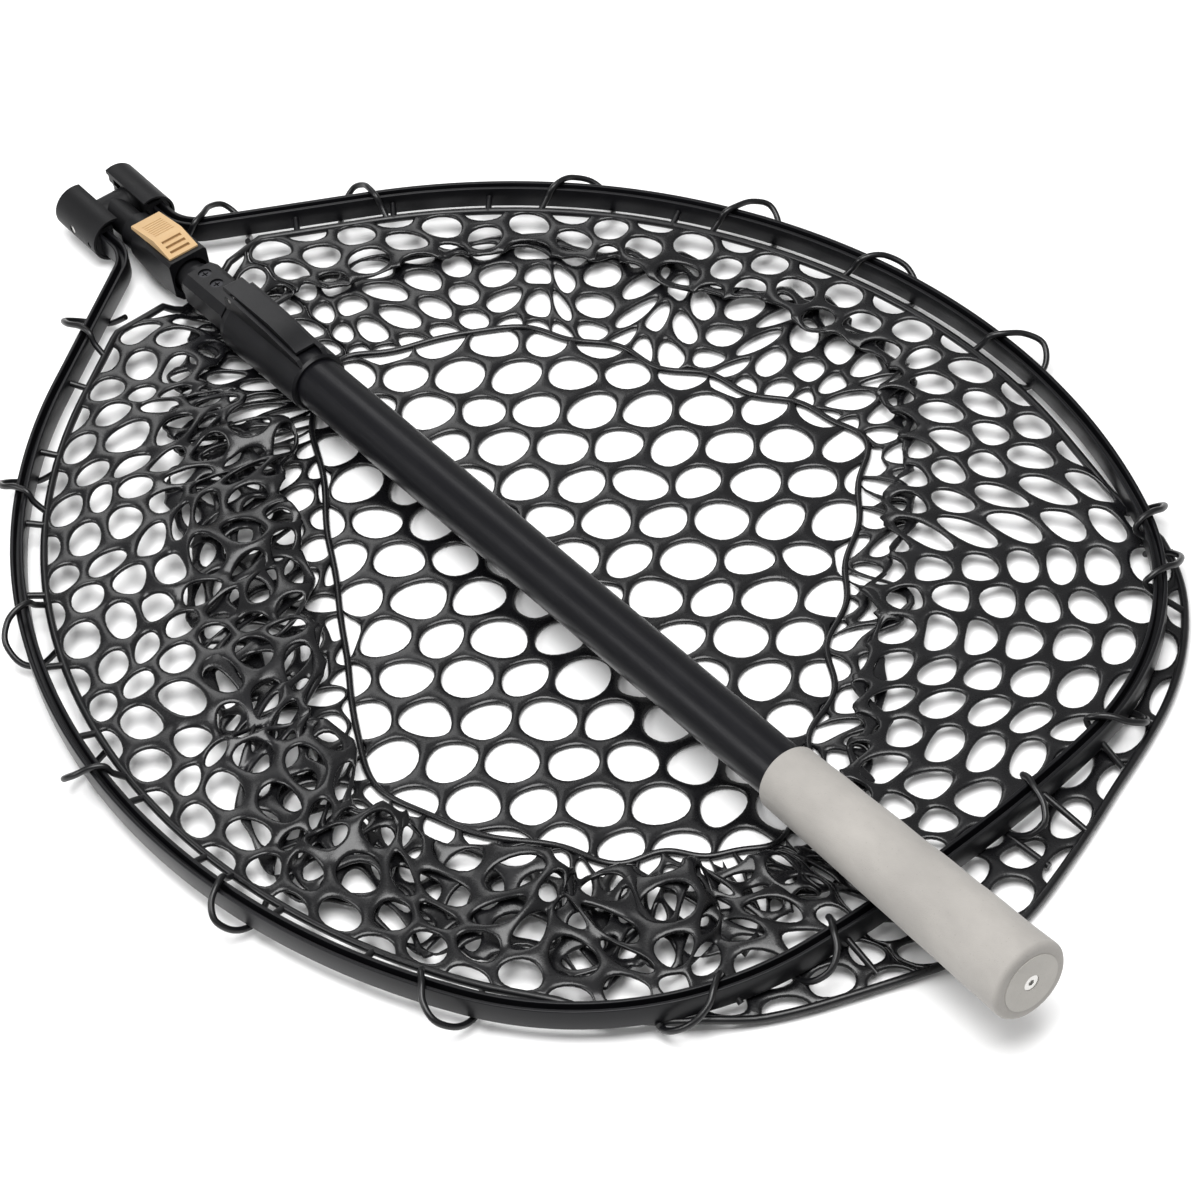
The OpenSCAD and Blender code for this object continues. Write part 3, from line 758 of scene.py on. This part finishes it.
# %% Build the table of profiles
STEPS = 220
profiles, lengths = np.zeros((FINE, STEPS, 3)), np.zeros(FINE)
outside = np.clip(-rim_inset / 12, 0, 1)
rim_z = 12.5 * (1 - outside) + 4.2 * outside
fold_z = 6.5 + 5.5 * gathered + 3.0 * waves(along, 0, 80) * gathered
for i in range(FINE):
    corners = np.array([[*rim_line[i], rim_z[i]], [*inner_fold[i], fold_z[i]],
                        [*outer_fold[i], 3.6 + 0.16 * fold_z[i]], [*panel_edge[i], 1.7]])
    legs = np.concatenate([[0], np.cumsum(np.linalg.norm(np.diff(corners, axis=0), axis=1))])
    marks = np.linspace(0, legs[-1], STEPS)
    dense = np.stack([np.interp(marks, legs, corners[:, k]) for k in range(3)], axis=-1)
    width = max(1.0, 4.0 / legs[-1] * STEPS)
    reach = np.arange(-int(3 * width), int(3 * width) + 1)
    kernel = np.exp(-0.5 * (reach / width) ** 2)
    kernel /= kernel.sum()
    padded = np.pad(dense, ((len(reach) // 2,) * 2, (0, 0)), "reflect", reflect_type="odd")
    soft = np.stack([np.convolve(padded[:, k], kernel, "valid") for k in range(3)], axis=-1)
    run = np.concatenate([[0], np.cumsum(np.linalg.norm(np.diff(soft, axis=0), axis=1))])
    lengths[i] = run[-1]
    even = np.linspace(0, run[-1], STEPS)
    profiles[i] = np.stack([np.interp(even, run, soft[:, k]) for k in range(3)], axis=-1)
lengths = eased(lengths, 5)
print("wall is", round(lengths.min()), "to", round(lengths.max()), "mm deep, mean", round(lengths.mean()))


def on_wall(s, t):
    """Where the flat wall's points (s round the rim, t down from it, in mm) lie, from the floor up."""
    u = (s % RIM_LENGTH) / RIM_LENGTH * FINE
    i0, fu = np.floor(u).astype(int) % FINE, (u % 1)[:, None]
    i1 = (i0 + 1) % FINE
    depth = lengths[i0] * (1 - fu[:, 0]) + lengths[i1] * fu[:, 0]
    share = np.clip(t / depth, 0, 1)
    v = share * (STEPS - 1)
    k0 = np.minimum(np.floor(v).astype(int), STEPS - 2)
    fv = (v - k0)[:, None]
    place = (profiles[i0, k0] * (1 - fv) + profiles[i0, k0 + 1] * fv) * (1 - fu) + (
        profiles[i1, k0] * (1 - fv) + profiles[i1, k0 + 1] * fv) * fu
    free = np.clip(np.minimum(share, 1 - share) * 6, 0, 1)
    wander = 1.6 + 4.6 * (gathered[i0] * (1 - fu[:, 0]) + gathered[i1] * fu[:, 0])
    place[:, 0] += DRIFT[0](s, t) * wander * free
    place[:, 1] += DRIFT[1](s, t) * wander * free
    place[:, 2] += np.abs(DRIFT[2](s, t)) * (wander - 1.2) * 0.9 * free * np.clip(place[:, 2] / 6, 0, 1)
    return settled(place)


def fixed_waves(length):
    """One set of waves that stays the same each time it is asked."""
    seed = int(rng.integers(1 << 30))
    return lambda s, t: waves(s, t, length, np.random.default_rng(seed))


DRIFT = [fixed_waves(75), fixed_waves(75), fixed_waves(60)]


HOOP_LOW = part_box("hoop_frame")[0][2] / MM


def settled(place):
    """Keeps points above the floor, under the handle, and clear of the hoop that they pass beneath."""
    x, y, z = place.T
    near, hoop_xy = np.full(len(x), 99.0), hoop_path[::2, :2]
    for i in range(0, len(x), 2000):
        d = np.hypot(x[i:i + 2000, None] - hoop_xy[:, 0], y[i:i + 2000, None] - hoop_xy[:, 1])
        near[i:i + 2000] = d.min(axis=1)
    under = HOOP_LOW - 1.8 + np.clip(near - 5.5, 0, None) * 1.1
    top = np.minimum(handle_room(x, y), under)
    return np.stack([x, y, np.maximum(np.minimum(z, top), 1.35)], axis=-1)


# %% [markdown]
# ## The pattern of holes
#
# One hole and the rubber round it is a ring of twelve faces. Geometry Nodes put that ring on every hole's
# centre, join the rings into one sheet, and Python then lays the sheet along the profiles. The wall's
# columns of holes run down from the rim, every other column set half a hole lower.

# %% One cell, and the tree that repeats it
def cell(name, pitch, row, hole):
    """A ring of faces between a hexagon and the hole in it; the first axis is along a row."""
    c1, c2 = row / 2 - pitch ** 2 / (8 * row), row / 2 + pitch ** 2 / (8 * row)
    corners = [(pitch / 2, c1), (0, c2), (-pitch / 2, c1), (-pitch / 2, -c1), (0, -c2), (pitch / 2, -c1)]
    rim_points = []
    for i, (x, y) in enumerate(corners):
        px, py = corners[i - 1]
        rim_points += [((x + px) / 2, (y + py) / 2), (x, y)]
    inner = []
    for x, y in rim_points:
        turn = math.atan2(y, x)
        inner.append((hole[0] * math.cos(turn), hole[1] * math.sin(turn)))
    n = len(rim_points)
    points = [(x * MM, y * MM, 0) for x, y in rim_points + inner]
    made = mesh_object(name, points, (), [(i, (i + 1) % n, n + (i + 1) % n, n + i) for i in range(n)])
    bpy.context.scene.collection.objects.unlink(made)
    return made


def repeat_tree():
    tree, start, end = new_tree("repeat", [("Cell", "NodeSocketObject"), ("Join", "NodeSocketFloat"),
                                           ("Finish", "NodeSocketMaterial")])
    info, put = tree.nodes.new("GeometryNodeObjectInfo"), tree.nodes.new("GeometryNodeInstanceOnPoints")
    dots, real = tree.nodes.new("GeometryNodeMeshToPoints"), tree.nodes.new("GeometryNodeRealizeInstances")
    weld, coat = tree.nodes.new("GeometryNodeMergeByDistance"), tree.nodes.new("GeometryNodeSetMaterial")
    chain(tree, ((start, "Geometry"), (dots, "Mesh")), ((dots, "Points"), (put, "Points")),
          ((start, "Cell"), (info, "Object")), ((info, "Geometry"), (put, "Instance")),
          ((put, "Instances"), (real, "Geometry")), ((real, "Geometry"), (weld, "Geometry")),
          ((start, "Join"), (weld, "Distance")), ((weld, "Geometry"), (coat, "Geometry")),
          ((start, "Finish"), (coat, "Material")), ((coat, "Geometry"), (end, "Geometry")))
    return tree


REPEAT = repeat_tree()


def laid(piece, rule, smallest=0.4e-6):
    """Moves the flat sheet's points by a rule, then drops the faces that it has shut, and welds the rest."""
    count = len(piece.data.vertices)
    flat = np.zeros(count * 3)
    piece.data.vertices.foreach_get("co", flat)
    piece.data.vertices.foreach_set("co", placed_up(rule(flat.reshape(-1, 3)[:, :2] / MM)).ravel())
    bm = bmesh.new()
    bm.from_mesh(piece.data)
    bmesh.ops.delete(bm, geom=[f for f in bm.faces if f.calc_area() < smallest], context="FACES_ONLY")
    bmesh.ops.remove_doubles(bm, verts=bm.verts, dist=0.00006)
    bmesh.ops.delete(bm, geom=[v for v in bm.verts if not v.link_faces], context="VERTS")
    bm.to_mesh(piece.data)
    bm.free()
    piece.data.polygons.foreach_set("use_smooth", [True] * len(piece.data.polygons))


def placed_up(points):
    """Points in millimetres from the pivot sideways and from the floor upwards, as metres in the scene."""
    return placed(points + [0, 0, FLOOR])


def thickened(piece, thickness):
    """Gives a sheet its thickness, and rounds its strands."""
    wall = piece.modifiers.new("thickness", "SOLIDIFY")
    wall.thickness, wall.offset = thickness * MM, 0
    smooth = piece.modifiers.new("rounding", "SUBSURF")
    smooth.levels = smooth.render_levels = 1


# %% The wall
# LEAST_SHARE is the smallest share of width by length that a sheet's area may be stated as
LEAST_SHARE = 0.3
PITCH = 21.0
FAN_AT = np.interp(725, runs, run_at)
fan = 1 + 0.2 * np.exp(-(((along - FAN_AT) / 190) ** 4))
spread = np.concatenate([[0], np.cumsum(RIM_LENGTH / FINE / fan)])
COLUMNS = 2 * round(spread[-1] / 23.6 / 2)
ROW = spread[-1] / COLUMNS


def round_the_rim(s):
    """The distance round the rim of a place s across the flat wall, whose columns widen where it fans out."""
    return np.interp(s % spread[-1], spread, np.linspace(0, RIM_LENGTH, FINE + 1))


WALL_HOLE = (9.0, 10.7)
wall_cell = cell("wall_cell", PITCH, ROW, WALL_HOLE)
for part in range(2):
    centres = []
    for j in range(part * COLUMNS // 2, (part + 1) * COLUMNS // 2):
        depth = lengths[int(round_the_rim(j * ROW) / RIM_LENGTH * FINE) % FINE]
        t = 0.0 if j % 2 else PITCH / 2
        while t < depth + 3:
            centres.append((t * MM, j * ROW * MM, 0))
            t += PITCH
    sheet = run_tree(f"net_wall_{part + 1}", mesh_object("wall_centres", centres), REPEAT,
                     Cell=wall_cell, Join=0.00005, Finish=mesh_rubber)
    laid(sheet, lambda flat: on_wall(round_the_rim(flat[:, 1]), flat[:, 0]))
    thickened(sheet, 2.4)
    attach(sheet, "hoop")
    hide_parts("net_wall")
    solid = len(centres) * (PITCH * ROW - math.pi * WALL_HOLE[0] * WALL_HOLE[1]) * MM ** 2
    ends = [float(round_the_rim(j * ROW - 1e-6)) for j in (part * COLUMNS // 2, (part + 1) * COLUMNS // 2)]
    own = (along >= ends[0] % RIM_LENGTH) & (along < ends[1]) if part else along < ends[1]
    flat = (lengths[own].mean() * MM, own.mean() * RIM_LENGTH * MM)
    max(solid, LEAST_SHARE * flat[0] * flat[1])
    print(sheet.name, "flat", [round(v, 3) for v in flat], "m, solid", round(solid, 4), "m2")
    print(sheet.name, len(centres), "holes,", len(sheet.data.polygons), "faces")

# %% [markdown]
# ## The floor panel
#
# The panel's holes are larger and rounder, in rows that run across the net. Cells that cross its edge are
# drawn in to it, which gives the part holes that the moulding has there.

# %% Lay the floor panel
TILT = math.radians(47.5)
axis_u, axis_v = np.array([math.cos(TILT), math.sin(TILT)]), np.array([-math.sin(TILT), math.cos(TILT)])


def to_edge(points):
    """Points of the plane, those outside the panel's edge moved onto it, and how far outside they were."""
    edge = panel_edge[::3]
    toward = np.roll(edge, -1, axis=0)
    x, y = points.T
    inside = np.zeros(len(x), bool)
    for (ax, ay), (bx, by) in zip(edge, toward):
        crosses = (ay > y) != (by > y)
        inside ^= crosses & (x < (bx - ax) * (y - ay) / (by - ay + 1e-12) + ax)
    d = np.hypot(x[:, None] - edge[:, 0], y[:, None] - edge[:, 1])
    nearest = edge[d.argmin(axis=1)]
    return np.where(inside[:, None], points, nearest), np.where(inside, 0, d.min(axis=1))


def on_panel(flat):
    base = flat[:, :1] * axis_u + flat[:, 1:2] * axis_v + panel_middle
    u, v = flat.T
    base = base + np.stack([DRIFT[1](u * 2, v), DRIFT[0](v * 2, u)], axis=-1) * 1.8
    place, _ = to_edge(base)
    lift = 1.5 + 0.7 * np.abs(DRIFT[2](flat[:, 0], flat[:, 1]))
    return settled(np.column_stack([place, lift]))


panel_middle = panel_edge.mean(axis=0)
BIG, BIG_ROW, BIG_HOLE = 28.4, 26.6, (12.9, 12.6)
centres = []
for j in range(-12, 13):
    for i in range(-12, 13):
        flat = np.array([(i + 0.5 * (j % 2)) * BIG, j * BIG_ROW])
        _, out = to_edge((flat[0] * axis_u + flat[1] * axis_v + panel_middle)[None])
        if out[0] < 7:
            centres.append((flat[0] * MM, flat[1] * MM, 0))
panel = run_tree("net_panel", mesh_object("panel_centres", centres), REPEAT,
                 Cell=cell("panel_cell", BIG, BIG_ROW, BIG_HOLE), Join=0.00005, Finish=mesh_rubber)
laid(panel, on_panel)
thickened(panel, 2.4)
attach(panel, "hoop")
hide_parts("net_bottom")
solid = len(centres) * (BIG * BIG_ROW - math.pi * BIG_HOLE[0] * BIG_HOLE[1]) * MM ** 2
turned = panel_edge @ np.column_stack([axis_u, axis_v])
flat = tuple((turned.max(axis=0) - turned.min(axis=0)) * MM)
max(solid, LEAST_SHARE * flat[0] * flat[1])
print(panel.name, "flat", [round(v, 3) for v in flat], "m, solid", round(solid, 4), "m2")
print(panel.name, len(centres), "holes,", len(panel.data.polygons), "faces")

# %% [markdown]
# ## Rim, ties and struts
#
# A thicker strand runs round the rim and another round the panel. The net hangs on the hoop by loose loops
# of the same rubber, each up over the hoop, along outside it and back underneath, and short struts keep
# the rim off the hoop between them.

# %% Edge strands, loops and struts
def lifted(line, z):
    points = settled(np.column_stack([line, z]))
    return points + [0, 0, FLOOR]


edge_lines = [(lifted(rim_line[::3], rim_z[::3]), True)]
rim_strand = swept("net_rim_strand", edge_lines, round_section(2.0), loop_rubber)
panel_strand = swept("net_panel_strand", [(lifted(panel_edge[::3], np.full(FINE // 3, 2.2)), True)],
                     round_section(1.7), mesh_rubber)
# how far each loop is from the middle of the far end, along the hoop, on the +Y side and on the other
LOOPS = [FAR - back for back in (40, 105, 205, 240, 375, 465, 550, 645, 760, 838)]
LOOPS += [FAR + back for back in (80, 140, 255, 370, 480, 585, 685, 805)]
HOOP_TOP = HOOP_LOW + HOOP_H
loop_lines = []
for run in LOOPS:
    reach, lean = rng.uniform(7, 15), rng.choice([-1, 1]) * rng.uniform(9, 15)
    near = int(np.argmin(np.hypot(*(rim_line - hoop_at(run, 12)).T)))
    inside = rim_inset[near]
    # (along the hoop, inside it, up from the floor): over the top, out, down and back underneath
    path = [(-1.25 * lean, inside, rim_z[near]), (-1.0 * lean, 6.2, 17.5), (-0.8 * lean, 3.4, HOOP_TOP + 1.4),
            (-0.5 * lean, -3.0, HOOP_TOP + 1.9), (-0.2 * lean, -3.5 - 0.6 * reach, 20),
            (0.35 * lean, -3.5 - reach, 15.5), (0.9 * lean, -3.5 - 0.7 * reach, 10),
            (1.2 * lean, -4.2, HOOP_LOW - 2.6), (1.3 * lean, 3.0, HOOP_LOW - 2.9),
            (1.25 * lean, inside, rim_z[near] - 0.5)]
    spots = np.array([[*hoop_at(run + ds, off), z] for ds, off, z in path])
    knots = np.linspace(0, len(path) - 1, 46)
    k = np.clip(knots.astype(int), 0, len(path) - 2)
    f = (knots - k)[:, None]
    p0, p1, p2, p3 = (spots[np.clip(k + d, 0, len(path) - 1)] for d in (-1, 0, 1, 2))
    bend, twist = 2 * p0 - 5 * p1 + 4 * p2 - p3, 3 * p1 - p0 - 3 * p2 + p3
    line = 0.5 * (2 * p1 + (p2 - p0) * f + bend * f ** 2 + twist * f ** 3)
    loop_lines.append((line + [0, 0, FLOOR], False))
loops = swept("net_ties", loop_lines, round_section(1.6), loop_rubber)
strut_lines = []
STRUT_GAP, CLEAR_OF_LOOP = 52.0, 15
STRUT = ((12.5, 12.6), (9, 13.4), (5.5, 14.4), (2.9, 15))
for run in np.arange(START + 20, END - 15, STRUT_GAP):
    if min(abs(run - other) for other in LOOPS) < CLEAR_OF_LOOP or np.interp(run, runs, inset) < 11:
        continue
    strut_lines.append((np.array([[*hoop_at(run, off), z + FLOOR] for off, z in STRUT]), False))
struts = swept("net_struts", strut_lines, round_section(1.7), loop_rubber)
STRANDS = ((rim_strand, "net_rim"), (panel_strand, "net_bottom"), (loops, "net_loops"), (struts, "net_rim"))
for made, node in STRANDS:
    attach(made, "hoop")
    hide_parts(node)
print("loops:", len(loop_lines), "struts:", len(strut_lines))

# %% [markdown]
# ## Floor
# A plain pale sheet stands in for the table.

# %% The floor
floor = mesh_object("floor", [(-6, -6, 0), (6, -6, 0), (6, 6, 0), (-6, 6, 0)], (), [(0, 1, 2, 3)])
p = Paint("paper")
cloud = p.noise(0.4, 2)
paper = p.finish(Base_Color=p.between(cloud, (0.93, 0.93, 0.93), (0.9, 0.9, 0.9)), Roughness=0.6)
floor.data.materials.append(paper)
